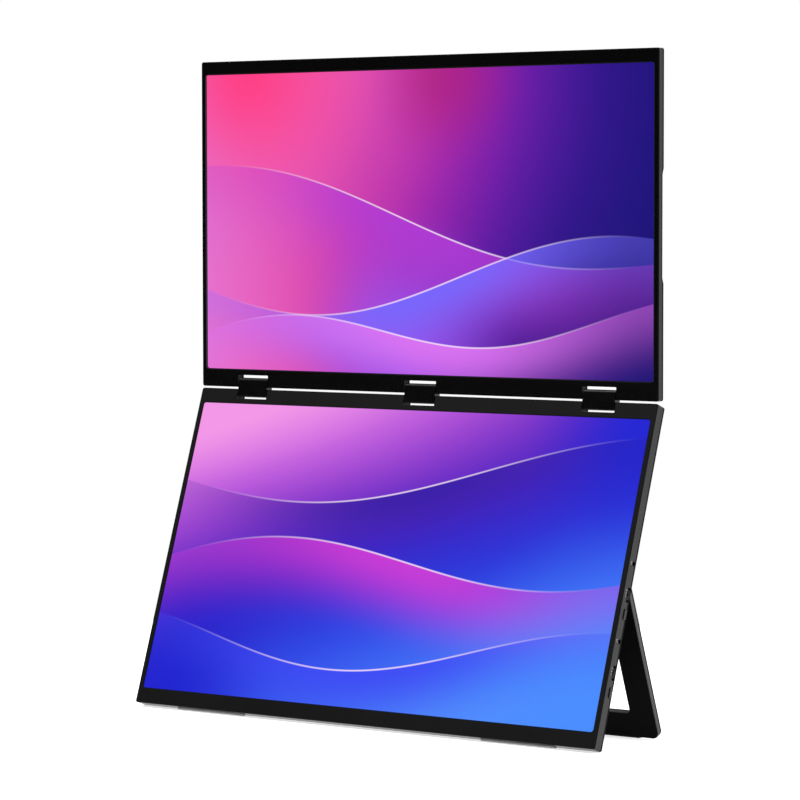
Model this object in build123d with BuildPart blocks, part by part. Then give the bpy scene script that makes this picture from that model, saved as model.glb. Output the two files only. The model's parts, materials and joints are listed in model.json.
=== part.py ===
"""Folding dual portable monitor, in millimetres.

Two flat displays are joined edge to edge by three hinge links, each turning on two pins. The lower
display leans back on a frame stand and carries the sockets and controls of both pictures. The model
stands as in use: X runs to the viewer's right, -Y is the front and the floor is at Z = 0.
"""
import os
from dataclasses import dataclass
from math import atan2, cos, pi, radians, sin, tan

from build123d import *

os.makedirs("parts", exist_ok=True)

# Picture and outline, the same on both displays
picture_width = 409.8
picture_height = 230.5
picture_corner = 2.5
side_border = 4.2
corner_radius = 1.7

# Layers of a display, front to back
bezel_thickness = 0.8
bezel_edge = 0.5
window_bevel = 0.4
lcd_thickness = 1.0
backlight_thickness = 2.0
tray_bevel = 0.5
chassis_thickness = 0.6
cover_thickness = 1.2
cover_bevel = 0.3

# Frame of a display
frame_wall = 2.0
hinge_wall = 1.6
rim_width = 7.0
stack_gap = 0.15
lcd_lip = 1.6

# Upper and lower display
upper_thickness = 7.1
upper_hinge_border = 13.6
upper_far_border = 9.9
lower_thickness = 10.2
lower_hinge_border = 11.8
lower_far_border = 12.0

# Finger scoops in the rear edges of the upper display
scoop_start = 84.0
scoop_end = 168.6
scoop_ramp = 5.0
scoop_depth = 1.9
scoop_reach = 9.0

# Hinge links and their pins
open_angle = 160.4
edge_gap = 1.3
link_margin = 50.1
link_width = 28.0
link_upper_end = 2.7
link_lower_end = 2.1
link_front = 4.2
link_back = 2.4
link_round = 2.3
link_edge = 0.8
link_side_gap = 0.5
pin_radius = 1.0
pin_depth = 4.2
upper_pin_inset = 4.4
lower_pin_inset = 3.4
upper_notch = 9.5
lower_notch = 8.0
well_wall = 1.0
running_gap = 0.05
clear_gap = 0.3

# Brackets that carry the hinge pins
ear_width = 4.0
ear_half = 1.6
web_thickness = 0.8
wing_length = 9.0
wing_width = 5.2
wing_thickness = 1.0
seat_gap = 0.1

# Side sockets and controls, one set for each display
jack_rise = 136.8
wheel_rise = 113.8
button_rise = 99.5
set_pitch = 57.2
socket_fit = 0.05
jack_radius = 1.8
jack_width = 6.4
jack_length = 12.0
jack_bore = 11.0
port_skin = 1.2
wheel_radius = 6.0
wheel_thickness = 2.0
wheel_proud = 0.8
wheel_slot = 10.8
wheel_slot_gap = 0.5
wheel_gap = 0.3
wheel_ribs = 18
groove_width = 0.7
groove_depth = 0.4
post_radius = 1.0
post_gap = 0.2
switch_base = 7.0
button_length = 7.2
button_width = 3.2
button_round = 1.1
button_edge = 0.3
button_proud = 0.8
button_travel = 0.5
button_fit = 0.45
button_stop_gap = 0.1
button_flange = 0.9
button_lip = 0.7
button_stem = 1.0
button_stem_width = 1.8
button_rest_gap = 0.1
tact_length = 6.0
tact_depth = 3.4
data_rise = 135.3
data_body = 9.6
data_mouth = 8.4
data_mouth_height = 2.6
data_tongue = 6.7
video_rise = 114.3
video_body = 12.4
video_mouth = 10.6
video_mouth_height = 2.6
video_corner = 1.0
video_tongue = 7.6
socket_length = 8.0
socket_reach = 6.5
tongue_length = 4.5
tongue_thickness = 0.7

# Circuit boards in the lower display
board_thickness = 1.0
board_stand = 1.2
board_width = 44.0
board_margin = 9.0
post_size = 4.0
chip_size = 12.0
chip_height = 1.0
chip_offset = 9.0

# Frame stand
stand_inset = 3.1
stand_thickness = 4.9
stand_length = 120.7
stand_rise = 119.8
stand_angle = 40.7
stand_leg = 21.0
stand_bottom_bar = 19.7
stand_top_bar = 17.0
stand_corner = 6.0
stand_window_corner = 3.5
stand_bevel = 0.4
stand_gap = 0.4
knuckle_margin = 76.0
knuckle_width = 30.0
knuckle_side_gap = 0.4
stand_pin_radius = 1.25
stand_pin_grip = 9.0
leaf_length = 15.0
leaf_thickness = 1.4
leaf_corner = 1.5
pad_length = 46.0
pad_margin = 41.0
pad_height = 0.8
pad_inset = 0.5

# Rubber feet under the lower display
foot_length = 64.0
foot_margin = 69.1
foot_width = 2.0
foot_height = 0.4

# How far a cut runs past the face that it opens
overrun = 2.0

panel_width = picture_width + 2 * side_border
half_width = panel_width / 2
notch_width = link_width + 2 * link_side_gap
link_pitch = half_width - link_margin
link_places = {"left": -link_pitch, "middle": 0, "right": link_pitch}


@dataclass
class Display:
    """One display: local x along the hinge edge, y away from that edge, z out of the picture."""

    name: str
    plane: Plane
    thickness: float
    hinge_border: float
    far_border: float
    notch: float
    pin_inset: float
    stack_back: float

    @property
    def height(self):
        return self.hinge_border + picture_height + self.far_border

    @property
    def back(self):
        """Depth of the back cover's inner face."""
        return self.thickness - cover_thickness

    @property
    def stack_start(self):
        """Where the picture layers begin, measured from the hinge edge."""
        return self.hinge_border - lcd_lip

    @property
    def stack_end(self):
        return self.height - frame_wall - stack_gap

    @property
    def facing(self):
        return Axis(self.plane.origin, self.plane.z_dir)

    def level(self, depth):
        """The plane parallel to the picture at that depth behind the front."""
        return self.plane.offset(-depth)

    def across(self, x):
        """The plane square to the hinge edge at x, with axes (away from the edge, depth)."""
        return Plane(
            self.plane.from_local_coords(Vector(x, 0, 0)),
            x_dir=self.plane.y_dir,
            z_dir=-self.plane.x_dir,
        )


# Rest pose: the feet and the stand's pads touch the floor together, which sets the lower lean
lower_height = lower_hinge_border + picture_height + lower_far_border
lower_back = lower_thickness - cover_thickness
stand_width = panel_width - 2 * stand_inset
stand_place = lower_height - stand_rise
knuckle_place = stand_width / 2 - knuckle_margin
pad_place = stand_width / 2 - pad_margin
foot_place = half_width - foot_margin
jack_place = lower_height - jack_rise
wheel_place = lower_height - wheel_rise
button_place = lower_height - button_rise
data_place = lower_height - data_rise
video_place = lower_height - video_rise
pivot_depth = lower_thickness + stand_gap + stand_thickness / 2
pad_half = stand_thickness / 2 - pad_inset
stand_reach = stand_length + pad_height
swing = radians(stand_angle)
foot_along = lower_height + foot_height
foot_depth = lower_back
pad_along = stand_place + stand_reach * cos(swing) + pad_half * sin(swing)
pad_depth = pivot_depth + stand_reach * sin(swing) - pad_half * cos(swing)
lower_lean = atan2(foot_along - pad_along, pad_depth - foot_depth)
upper_lean = pi - radians(open_angle) - lower_lean
stand_lean = swing - lower_lean
pad_wedge = 2 * pad_half * tan(stand_lean)

# The origin is at the middle of the outline's box, on the floor
centre_x = -button_proud / 2
pivot_y = -stand_place * sin(lower_lean) + pivot_depth * cos(lower_lean)
pad_rear = (stand_reach + pad_wedge) * sin(stand_lean) + pad_half * cos(stand_lean)
plate_rear = stand_length * sin(stand_lean) + stand_thickness / 2 * cos(stand_lean)
rear_y = pivot_y + max(pad_rear, plate_rear)
front_y = -lower_height * sin(lower_lean)
lower_origin = Vector(
    centre_x,
    -(front_y + rear_y) / 2,
    foot_along * cos(lower_lean) + foot_depth * sin(lower_lean),
)
upper_up = Vector(0, -sin(upper_lean), cos(upper_lean))
upper_front = Vector(0, -cos(upper_lean), -sin(upper_lean))
lower_front = Vector(0, -cos(lower_lean), sin(lower_lean))
upper_origin = lower_origin + upper_up * edge_gap

picture_back = bezel_thickness + lcd_thickness + backlight_thickness
upper = Display(
    "upper",
    Plane(upper_origin, x_dir=(1, 0, 0), z_dir=upper_front),
    upper_thickness,
    upper_hinge_border,
    upper_far_border,
    upper_notch,
    upper_pin_inset,
    picture_back,
)
lower = Display(
    "lower",
    Plane(lower_origin, x_dir=(-1, 0, 0), z_dir=lower_front),
    lower_thickness,
    lower_hinge_border,
    lower_far_border,
    lower_notch,
    lower_pin_inset,
    picture_back + chassis_thickness,
)

# Sides of the lower display, as signs of its local x: controls on the viewer's right
control_side = -1
socket_side = 1
port_depth = (lower.stack_back + lower.back) / 2
port_height = lower.back - lower.stack_back


def save(piece, name):
    piece.part.label = name
    export_step(piece.part, f"parts/{name}.step")


def panel_outline(display):
    with Locations((0, display.height / 2)):
        RectangleRounded(panel_width, display.height, corner_radius)


def stack_outline(display, inset=0, mode=Mode.ADD):
    """The picture layers' rectangle, drawn in by an inset on its three outer sides."""
    start = display.stack_start
    end = display.stack_end - inset
    with Locations((0, (start + end) / 2)):
        Rectangle(2 * (half_width - frame_wall - stack_gap - inset), end - start, mode=mode)


def edge_boxes(display, width, reach, start=0, mode=Mode.ADD):
    """A rectangle at each hinge link, from a start to a reach away from the hinge edge."""
    with Locations(*[(x, (start + reach) / 2) for x in link_places.values()]):
        Rectangle(width, reach - start, mode=mode)


def cut_notches(display, front, back):
    """Opens the hinge links' notches through the layers between two depths."""
    with BuildSketch(display.level(back + overrun)) as notches:
        edge_boxes(display, notch_width, display.notch, -overrun)
    extrude(notches.sketch, amount=back - front + 2 * overrun, mode=Mode.SUBTRACT)


def side_box(display, side, place, length, start, end, front, back, mode=Mode.ADD):
    """A block at one side: from a start to an end inwards of the side face, between two depths."""
    with BuildSketch(display.level(back)) as block:
        with Locations((side * (half_width - (start + end) / 2), place)):
            Rectangle(end - start, length)
    extrude(block.sketch, amount=back - front, mode=mode)


def side_plane(display, side, inwards):
    """The plane parallel to a side face, with axes (away from the hinge edge, depth)."""
    return display.across(side * (half_width - inwards))


def front_bezel(display):
    with BuildPart() as bezel:
        with BuildSketch(display.level(bezel_thickness)):
            panel_outline(display)
            with Locations((0, display.hinge_border + picture_height / 2)):
                RectangleRounded(
                    picture_width, picture_height, picture_corner, mode=Mode.SUBTRACT
                )
        extrude(amount=bezel_thickness)
        face = bezel.faces().sort_by(display.facing)[-1]
        chamfer(face.outer_wire().edges(), bezel_edge)
        face = bezel.faces().sort_by(display.facing)[-1]
        chamfer(face.inner_wires()[0].edges(), window_bevel)
        cut_notches(display, 0, bezel_thickness)
    save(bezel, f"{display.name}_front_bezel")


def lcd_panel(display):
    with BuildPart() as lcd:
        with BuildSketch(display.level(bezel_thickness + lcd_thickness)):
            stack_outline(display)
        extrude(amount=lcd_thickness)
    save(lcd, f"{display.name}_lcd_panel")


def backlight(display):
    """Light guide in a pressed tray, whose floor stands in a little from its rim."""
    with BuildPart() as tray:
        with BuildSketch(display.level(picture_back)):
            stack_outline(display, stack_gap)
        extrude(amount=backlight_thickness)
        face = tray.faces().sort_by(display.facing)[0]
        chamfer(face.outer_wire().edges(), tray_bevel)
    save(tray, f"{display.name}_backlight")


def grip_scoop(display, side):
    """The wedge that a finger scoop takes out of a rear side edge."""
    deep = display.thickness - scoop_depth
    behind = display.thickness + scoop_depth
    slope = scoop_depth / scoop_reach
    inner = half_width - scoop_reach
    outer = half_width + overrun
    with BuildPart() as wedge:
        with BuildSketch(display.across(side * inner)):
            with BuildLine():
                Polyline(
                    (scoop_start - scoop_ramp, behind),
                    (scoop_start + scoop_ramp, deep),
                    (scoop_end - scoop_ramp, deep),
                    (scoop_end + scoop_ramp, behind),
                    close=True,
                )
            make_face()
        extrude(amount=-side * (outer - inner))
        section = Plane(display.plane.origin, x_dir=display.plane.x_dir, z_dir=display.plane.y_dir)
        with BuildSketch(section):
            with BuildLine():
                Polyline(
                    (side * inner, display.thickness),
                    (side * outer, deep - overrun * slope),
                    (side * outer, behind),
                    (side * inner, behind),
                    close=True,
                )
            make_face()
        extrude(amount=display.height, mode=Mode.INTERSECT)
    return wedge.part


def back_cover(display, scoops=()):
    with BuildPart() as cover:
        with BuildSketch(display.level(display.thickness)):
            panel_outline(display)
        extrude(amount=cover_thickness)
        face = cover.faces().sort_by(display.facing)[0]
        chamfer(face.outer_wire().edges(), cover_bevel)
        cut_notches(display, display.back, display.thickness)
        for wedge in scoops:
            add(wedge, mode=Mode.SUBTRACT)
    save(cover, f"{display.name}_back_cover")


bracket_inner = notch_width + 2 * (well_wall + seat_gap)
bracket_outer = bracket_inner + 2 * ear_width
bracket_span = bracket_outer + 2 * wing_length
wing_start = hinge_wall + seat_gap


def web_back(display):
    return display.notch + well_wall + seat_gap + web_thickness


def mid_frame(display, scoops=()):
    """Outer walls with a rim behind the picture layers, and a well round each hinge link.

    The wells' sides are slotted from the back, so that a link is laid in with its pins.
    """
    with BuildPart() as frame:
        with BuildSketch(display.level(display.back)):
            panel_outline(display)
            with Locations((0, (hinge_wall + display.height - frame_wall) / 2)):
                Rectangle(
                    2 * (half_width - frame_wall),
                    display.height - frame_wall - hinge_wall,
                    mode=Mode.SUBTRACT,
                )
        extrude(amount=display.back - bezel_thickness)
        with BuildSketch(display.level(display.back)):
            panel_outline(display)
            with Locations((0, display.height / 2)):
                Rectangle(
                    2 * (half_width - rim_width),
                    display.height - 2 * rim_width,
                    mode=Mode.SUBTRACT,
                )
        extrude(amount=display.back - display.stack_back)
        with BuildSketch(display.level(display.back)):
            edge_boxes(display, bracket_outer + 2 * seat_gap, rim_width + overrun, hinge_wall)
        extrude(amount=display.back - display.stack_back, mode=Mode.SUBTRACT)
        with BuildSketch(display.level(display.back)):
            edge_boxes(display, notch_width + 2 * well_wall, display.notch + well_wall)
        extrude(amount=display.back - bezel_thickness)
        cut_notches(display, bezel_thickness, display.back)
        slot_half = pin_radius + clear_gap
        with BuildSketch(display.level(display.back)):
            with Locations(*[(x, display.pin_inset) for x in link_places.values()]):
                Rectangle(bracket_inner, 2 * slot_half)
        extrude(amount=display.back - pin_depth + slot_half, mode=Mode.SUBTRACT)
        for wedge in scoops:
            add(wedge, mode=Mode.SUBTRACT)
        if display is lower:
            cut_side_openings(display)
    save(frame, f"{display.name}_mid_frame")


def cut_side_openings(display):
    """Slots for the sockets, open to the back cover, and pockets for the wheels and buttons."""
    front, back = display.stack_back, display.back
    inner = rim_width + overrun
    for shift in (0, set_pitch):
        for side, place, width in (
            (control_side, jack_place, jack_width),
            (socket_side, data_place, data_body),
            (socket_side, video_place, video_body),
        ):
            side_box(
                display, side, place + shift, width + 2 * socket_fit,
                -overrun, inner, front, back, Mode.SUBTRACT,
            )
        for place, width in (
            (wheel_place, 2 * (wheel_radius + wheel_gap)),
            (button_place, button_length + 2 * (button_lip + button_fit)),
        ):
            side_box(
                display, control_side, place + shift, width,
                port_skin, inner, front, back, Mode.SUBTRACT,
            )
        with BuildSketch(side_plane(display, control_side, port_skin)) as slots:
            with Locations((wheel_place + shift, port_depth)):
                Rectangle(wheel_slot, wheel_thickness + 2 * wheel_slot_gap)
            with Locations((button_place + shift, port_depth)):
                RectangleRounded(
                    button_length + 2 * button_fit,
                    button_width + 2 * button_fit,
                    button_round + button_fit,
                )
        extrude(slots.sketch, amount=port_skin + overrun, both=True, mode=Mode.SUBTRACT)


def hinge_bracket(display, x, name):
    """Steel cradle round a link's well: two ears with the pin's bores, a web and two flat wings."""
    ear_back = max(pin_depth + ear_half, display.stack_back)
    with BuildPart() as bracket:
        with BuildSketch(display.level(ear_back)):
            with Locations((x, (wing_start + web_back(display)) / 2)):
                Rectangle(bracket_outer, web_back(display) - wing_start)
            with Locations((x, (wing_start + web_back(display) - web_thickness) / 2)):
                Rectangle(
                    bracket_inner, web_back(display) - web_thickness - wing_start, mode=Mode.SUBTRACT
                )
        extrude(amount=ear_back - pin_depth + ear_half)
        with BuildSketch(display.level(display.stack_back)):
            with Locations((x, wing_start + wing_width / 2)):
                Rectangle(bracket_span, wing_width)
                Rectangle(bracket_outer, wing_width, mode=Mode.SUBTRACT)
        extrude(amount=wing_thickness)
        with BuildSketch(display.across(x)):
            with Locations((display.pin_inset, pin_depth)):
                Circle(pin_radius + running_gap)
        extrude(amount=bracket_outer / 2, both=True, mode=Mode.SUBTRACT)
    save(bracket, name)


def pin_axis(display):
    """The middle of a display's hinge axis."""
    return display.plane.from_local_coords(Vector(0, display.pin_inset, -pin_depth))


lower_axis = pin_axis(lower)
upper_axis = pin_axis(upper)
link_length = (upper_axis - lower_axis).length
link_direction = (upper_axis - lower_axis).normalized()


def link_plane(x):
    """Square to the pins at x, with axes (from the lower pin to the upper one, depth)."""
    return Plane(lower_axis + Vector(x, 0, 0), x_dir=link_direction, z_dir=(-1, 0, 0))


def hinge_link(x, name):
    """A bar that bridges the two panel edges on its two pins, rounded at its upper front edge."""
    start, end = -link_lower_end, link_length + link_upper_end
    with BuildPart() as link:
        with BuildSketch(link_plane(x)):
            with Locations(((start + end) / 2, (link_back - link_front) / 2)):
                Rectangle(end - start, link_front + link_back)
            fillet(vertices().group_by(Axis.X)[-1].sort_by(Axis.Y)[0], link_round)
            chamfer(vertices().group_by(Axis.X)[0], link_edge)
            chamfer(vertices().group_by(Axis.Y)[-1].sort_by(Axis.X)[-1], link_edge)
            with Locations((0, 0), (link_length, 0)):
                Circle(pin_radius, mode=Mode.SUBTRACT)
        extrude(amount=link_width / 2, both=True)
    save(link, name)


def hinge_pin(x, along, name):
    with BuildPart() as pin:
        with BuildSketch(link_plane(x)):
            with Locations((along, 0)):
                Circle(pin_radius)
        extrude(amount=bracket_outer / 2, both=True)
    save(pin, name)


def chassis_plate(display):
    """Sheet behind the backlight with the pillars that hold the circuit boards."""
    with BuildPart() as chassis:
        with BuildSketch(display.level(display.stack_back)):
            stack_outline(display)
        extrude(amount=chassis_thickness)
        with BuildSketch(display.level(display.stack_back + board_stand)):
            for x, start, end in board_spans:
                with Locations((x, (start + end) / 2)):
                    with GridLocations(board_width - 2 * post_size, end - start - 2 * post_size, 2, 2):
                        Rectangle(post_size, post_size)
        extrude(amount=board_stand)
    save(chassis, f"{display.name}_chassis")


board_x = half_width - jack_length - board_width / 2
socket_board_x = half_width - socket_length - board_width / 2
set_end = set_pitch - board_margin
board_spans = (
    (control_side * board_x, jack_place - board_margin, jack_place + set_end - board_margin),
    (
        control_side * board_x,
        jack_place + set_pitch - board_margin,
        jack_place + set_pitch + set_end - board_margin,
    ),
    (
        socket_side * socket_board_x,
        data_place - board_margin,
        video_place + set_pitch + board_margin,
    ),
)


def circuit_board(display, span, name):
    """A board on its pillars, with a controller chip on its back."""
    x, start, end = span
    front = display.stack_back + board_stand
    with BuildPart() as board:
        with BuildSketch(display.level(front + board_thickness)):
            with Locations((x, (start + end) / 2)):
                Rectangle(board_width, end - start)
        extrude(amount=board_thickness)
        with BuildSketch(display.level(front + board_thickness + chip_height)):
            with Locations((x, (start + end) / 2 - chip_offset), (x, (start + end) / 2 + chip_offset)):
                Rectangle(chip_size, chip_size)
        extrude(amount=chip_height)
    save(board, name)


def audio_jack(place, name):
    """A socket body that fills its slot in the frame, bored for a plug."""
    with BuildPart() as jack:
        side_box(lower, control_side, place, jack_width, 0, jack_length, lower.stack_back, lower.back)
        with BuildSketch(side_plane(lower, control_side, jack_bore)):
            with Locations((place, port_depth)):
                Circle(jack_radius)
        extrude(amount=-control_side * (jack_bore + overrun), mode=Mode.SUBTRACT)
    save(jack, name)


def data_socket(place, name):
    with BuildPart() as socket:
        side_box(lower, socket_side, place, data_body, 0, socket_length, lower.stack_back, lower.back)
        with BuildSketch(side_plane(lower, socket_side, socket_reach)):
            with Locations((place, port_depth)):
                SlotOverall(data_mouth, data_mouth_height)
        extrude(amount=-socket_side * (socket_reach + overrun), mode=Mode.SUBTRACT)
        with BuildSketch(side_plane(lower, socket_side, socket_reach)):
            with Locations((place, port_depth)):
                Rectangle(data_tongue, tongue_thickness)
        extrude(amount=-socket_side * tongue_length)
    save(socket, name)


def video_socket(place, name):
    with BuildPart() as socket:
        side_box(lower, socket_side, place, video_body, 0, socket_length, lower.stack_back, lower.back)
        with BuildSketch(side_plane(lower, socket_side, socket_reach)):
            with Locations((place, port_depth)):
                Rectangle(video_mouth, video_mouth_height)
            chamfer(vertices().group_by(Axis.Y)[-1], video_corner)
        extrude(amount=-socket_side * (socket_reach + overrun), mode=Mode.SUBTRACT)
        with BuildSketch(side_plane(lower, socket_side, socket_reach)):
            with Locations((place, port_depth)):
                Rectangle(video_tongue, tongue_thickness)
        extrude(amount=-socket_side * tongue_length)
    save(socket, name)


wheel_x = control_side * (half_width - wheel_radius + wheel_proud)
wheel_front = port_depth - wheel_thickness / 2
wheel_back = port_depth + wheel_thickness / 2


def thumb_wheel(place, name):
    with BuildPart() as wheel:
        with BuildSketch(lower.level(wheel_back)):
            with Locations((wheel_x, place)):
                Circle(wheel_radius)
                with PolarLocations(wheel_radius, wheel_ribs):
                    Rectangle(2 * groove_depth, groove_width, mode=Mode.SUBTRACT)
                Circle(post_radius + running_gap, mode=Mode.SUBTRACT)
        extrude(amount=wheel_thickness)
    save(wheel, name)


def wheel_switch(place, name):
    """Base on the chassis with the post that the wheel rocks on."""
    base_back = wheel_front - post_gap
    with BuildPart() as switch:
        with BuildSketch(lower.level(base_back)):
            with Locations((wheel_x, place)):
                Rectangle(switch_base, switch_base)
        extrude(amount=base_back - lower.stack_back)
        with BuildSketch(lower.level(wheel_back + post_gap)):
            with Locations((wheel_x, place)):
                Circle(post_radius)
        extrude(amount=wheel_back + post_gap - base_back)
    save(switch, name)


flange_front = port_skin + button_stop_gap
stem_start = flange_front + button_flange
stem_end = stem_start + button_stem
switch_front = stem_end + button_travel + button_rest_gap


def power_button(place, name):
    """A cap through the side wall, with a lip that stops it and a stem behind."""
    with BuildPart() as button:
        with BuildSketch(side_plane(lower, control_side, flange_front)):
            with Locations((place, port_depth)):
                RectangleRounded(button_length, button_width, button_round)
        extrude(amount=-control_side * (flange_front + button_proud))
        face = button.faces().sort_by(Axis.X)[-1]
        chamfer(face.edges(), button_edge)
        with BuildSketch(side_plane(lower, control_side, stem_start)):
            with Locations((place, port_depth)):
                Rectangle(button_length + 2 * button_lip, button_width + button_lip)
        extrude(amount=-control_side * button_flange)
        with BuildSketch(side_plane(lower, control_side, stem_end)):
            with Locations((place, port_depth)):
                Rectangle(button_stem_width, button_stem_width)
        extrude(amount=-control_side * button_stem)
    save(button, name)


def button_switch(place, name):
    with BuildPart() as switch:
        side_box(
            lower, control_side, place, tact_length, switch_front, switch_front + tact_depth,
            lower.stack_back, port_depth + button_width / 2,
        )
    save(switch, name)


def rubber_foot(x, name):
    """A strip under the bottom edge, cut so that it lies level in use."""
    front = foot_depth - foot_width
    low = foot_along + foot_width * tan(lower_lean)
    with BuildPart() as foot:
        with BuildSketch(lower.across(x)):
            with BuildLine():
                Polyline(
                    (lower.height, front),
                    (lower.height, foot_depth),
                    (foot_along, foot_depth),
                    (low, front),
                    close=True,
                )
            make_face()
        extrude(amount=foot_length / 2, both=True)
    save(foot, name)


stand_pivot = lower.plane.from_local_coords(Vector(0, stand_place, -pivot_depth))
stand_down = lower.plane.y_dir * cos(swing) - lower.plane.z_dir * sin(swing)
stand_facing = lower.plane.z_dir * cos(swing) + lower.plane.y_dir * sin(swing)
stand_plane = Plane(stand_pivot, x_dir=lower.plane.x_dir, z_dir=stand_facing)
stand_half = stand_thickness / 2


def along_stand(edge):
    """How far an edge's middle lies from the pivot, towards the foot."""
    return stand_plane.to_local_coords(edge.center()).Y


def stand_across(x):
    """Square to the stand's pivot at x, with axes (towards the foot, away from the display)."""
    middle = stand_plane.from_local_coords(Vector(x, 0, 0))
    return Plane(middle, x_dir=stand_down, z_dir=-lower.plane.x_dir)


def stand_frame():
    """A flat frame with a wide window, rolled round its pivot line at the top."""
    window_end = stand_length - stand_bottom_bar
    with BuildPart() as stand:
        with BuildSketch(stand_across(0)):
            Circle(stand_half)
            with Locations((stand_length / 2, 0)):
                Rectangle(stand_length, stand_thickness)
        extrude(amount=stand_width / 2, both=True)
        feet = stand.edges().filter_by(Axis(stand_pivot, stand_facing))
        fillet(feet.filter_by(lambda e: along_stand(e) > stand_length / 2), stand_corner)
        with BuildSketch(stand_plane.offset(-stand_thickness)):
            with Locations((0, (stand_top_bar + window_end) / 2)):
                RectangleRounded(
                    stand_width - 2 * stand_leg,
                    window_end - stand_top_bar,
                    stand_window_corner,
                )
        extrude(amount=2 * stand_thickness, mode=Mode.SUBTRACT)
        flats = stand.faces().filter_by(stand_plane)
        rims = flats.edges().filter_by(lambda e: along_stand(e) > stand_half)
        chamfer(rims, stand_bevel)
        with BuildSketch(stand_plane.offset(-stand_thickness)):
            with Locations((-knuckle_place, 0), (knuckle_place, 0)):
                Rectangle(knuckle_width + 2 * knuckle_side_gap, 2 * (stand_half + stand_gap))
        extrude(amount=2 * stand_thickness, mode=Mode.SUBTRACT)
        for x in (-knuckle_place, knuckle_place):
            with BuildSketch(stand_across(x)):
                Circle(stand_pin_radius)
            extrude(amount=knuckle_width / 2 + stand_pin_grip, both=True, mode=Mode.SUBTRACT)
    save(stand, "stand_frame")


def stand_bracket(x, name):
    """A leaf screwed to the back cover, rolled into the knuckle that the stand turns on."""
    leaf_start = stand_place - leaf_length
    with BuildPart() as bracket:
        with BuildSketch(lower.level(lower.thickness + leaf_thickness)):
            with Locations((x, (leaf_start + stand_place) / 2)):
                Rectangle(knuckle_width, leaf_length)
            chamfer(vertices().group_by(Axis.Y)[0], leaf_corner)
        extrude(amount=leaf_thickness)
        with BuildSketch(lower.across(x)):
            with Locations((stand_place, pivot_depth)):
                Circle(stand_half)
        extrude(amount=knuckle_width / 2, both=True)
        with BuildSketch(lower.across(x)):
            with Locations((stand_place, pivot_depth)):
                Circle(stand_pin_radius + running_gap)
        extrude(amount=knuckle_width / 2, both=True, mode=Mode.SUBTRACT)
    save(bracket, name)


def stand_pin(x, name):
    with BuildPart() as pin:
        with BuildSketch(stand_across(x)):
            Circle(stand_pin_radius)
        extrude(amount=knuckle_width / 2 + stand_pin_grip, both=True)
    save(pin, name)


def stand_pad(x, name):
    """A rubber pad on the stand's end, cut so that it lies level in use."""
    with BuildPart() as pad:
        with BuildSketch(stand_across(x)):
            with BuildLine():
                Polyline(
                    (stand_length, -pad_half),
                    (stand_length, pad_half),
                    (stand_reach + pad_wedge, pad_half),
                    (stand_reach, -pad_half),
                    close=True,
                )
            make_face()
        extrude(amount=pad_length / 2, both=True)
    save(pad, name)


scoops = [grip_scoop(upper, side) for side in (control_side, socket_side)]
for display in (lower, upper):
    front_bezel(display)
    lcd_panel(display)
    backlight(display)
    for spot, x in link_places.items():
        hinge_bracket(display, x, f"{display.name}_hinge_bracket_{spot}")
mid_frame(lower)
mid_frame(upper, scoops)
back_cover(lower)
back_cover(upper, scoops)

for spot, x in link_places.items():
    hinge_link(x, f"hinge_link_{spot}")
    hinge_pin(x, 0, f"lower_hinge_pin_{spot}")
    hinge_pin(x, link_length, f"upper_hinge_pin_{spot}")

chassis_plate(lower)
for span, name in zip(board_spans, ("driver_board_1", "driver_board_2", "socket_board")):
    circuit_board(lower, span, name)

for number, shift in enumerate((0, set_pitch), start=1):
    audio_jack(jack_place + shift, f"audio_jack_{number}")
    data_socket(data_place + shift, f"data_socket_{number}")
    video_socket(video_place + shift, f"video_socket_{number}")
    thumb_wheel(wheel_place + shift, f"thumb_wheel_{number}")
    wheel_switch(wheel_place + shift, f"wheel_switch_{number}")
    power_button(button_place + shift, f"power_button_{number}")
    button_switch(button_place + shift, f"button_switch_{number}")

stand_frame()
for spot, sign in (("left", 1), ("right", -1)):
    rubber_foot(sign * foot_place, f"foot_{spot}")
    stand_bracket(sign * knuckle_place, f"stand_bracket_{spot}")
    stand_pin(sign * knuckle_place, f"stand_pin_{spot}")
    stand_pad(sign * pad_place, f"stand_pad_{spot}")
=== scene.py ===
"""Looks of the folding two-screen monitor: finishes, pictures, small metalwork, light and camera."""
import json
from math import atan2, cos, pi, radians, sin

import bmesh
import bpy
import numpy as np
from mathutils import Matrix, Vector


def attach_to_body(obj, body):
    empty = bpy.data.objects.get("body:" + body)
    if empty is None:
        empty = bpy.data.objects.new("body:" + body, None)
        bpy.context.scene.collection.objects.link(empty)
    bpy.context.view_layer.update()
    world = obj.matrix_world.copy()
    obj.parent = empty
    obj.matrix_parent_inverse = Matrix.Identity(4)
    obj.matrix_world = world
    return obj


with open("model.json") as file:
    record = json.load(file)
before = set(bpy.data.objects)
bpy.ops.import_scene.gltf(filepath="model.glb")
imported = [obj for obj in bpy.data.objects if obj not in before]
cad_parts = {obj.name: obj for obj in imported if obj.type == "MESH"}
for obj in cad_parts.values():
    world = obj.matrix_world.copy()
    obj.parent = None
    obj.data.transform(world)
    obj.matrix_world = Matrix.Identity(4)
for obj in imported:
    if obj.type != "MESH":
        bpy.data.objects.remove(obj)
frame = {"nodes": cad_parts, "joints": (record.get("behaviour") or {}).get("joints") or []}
nodes = frame["nodes"]
joints = {joint["name"]: joint for joint in frame["joints"]}
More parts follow.
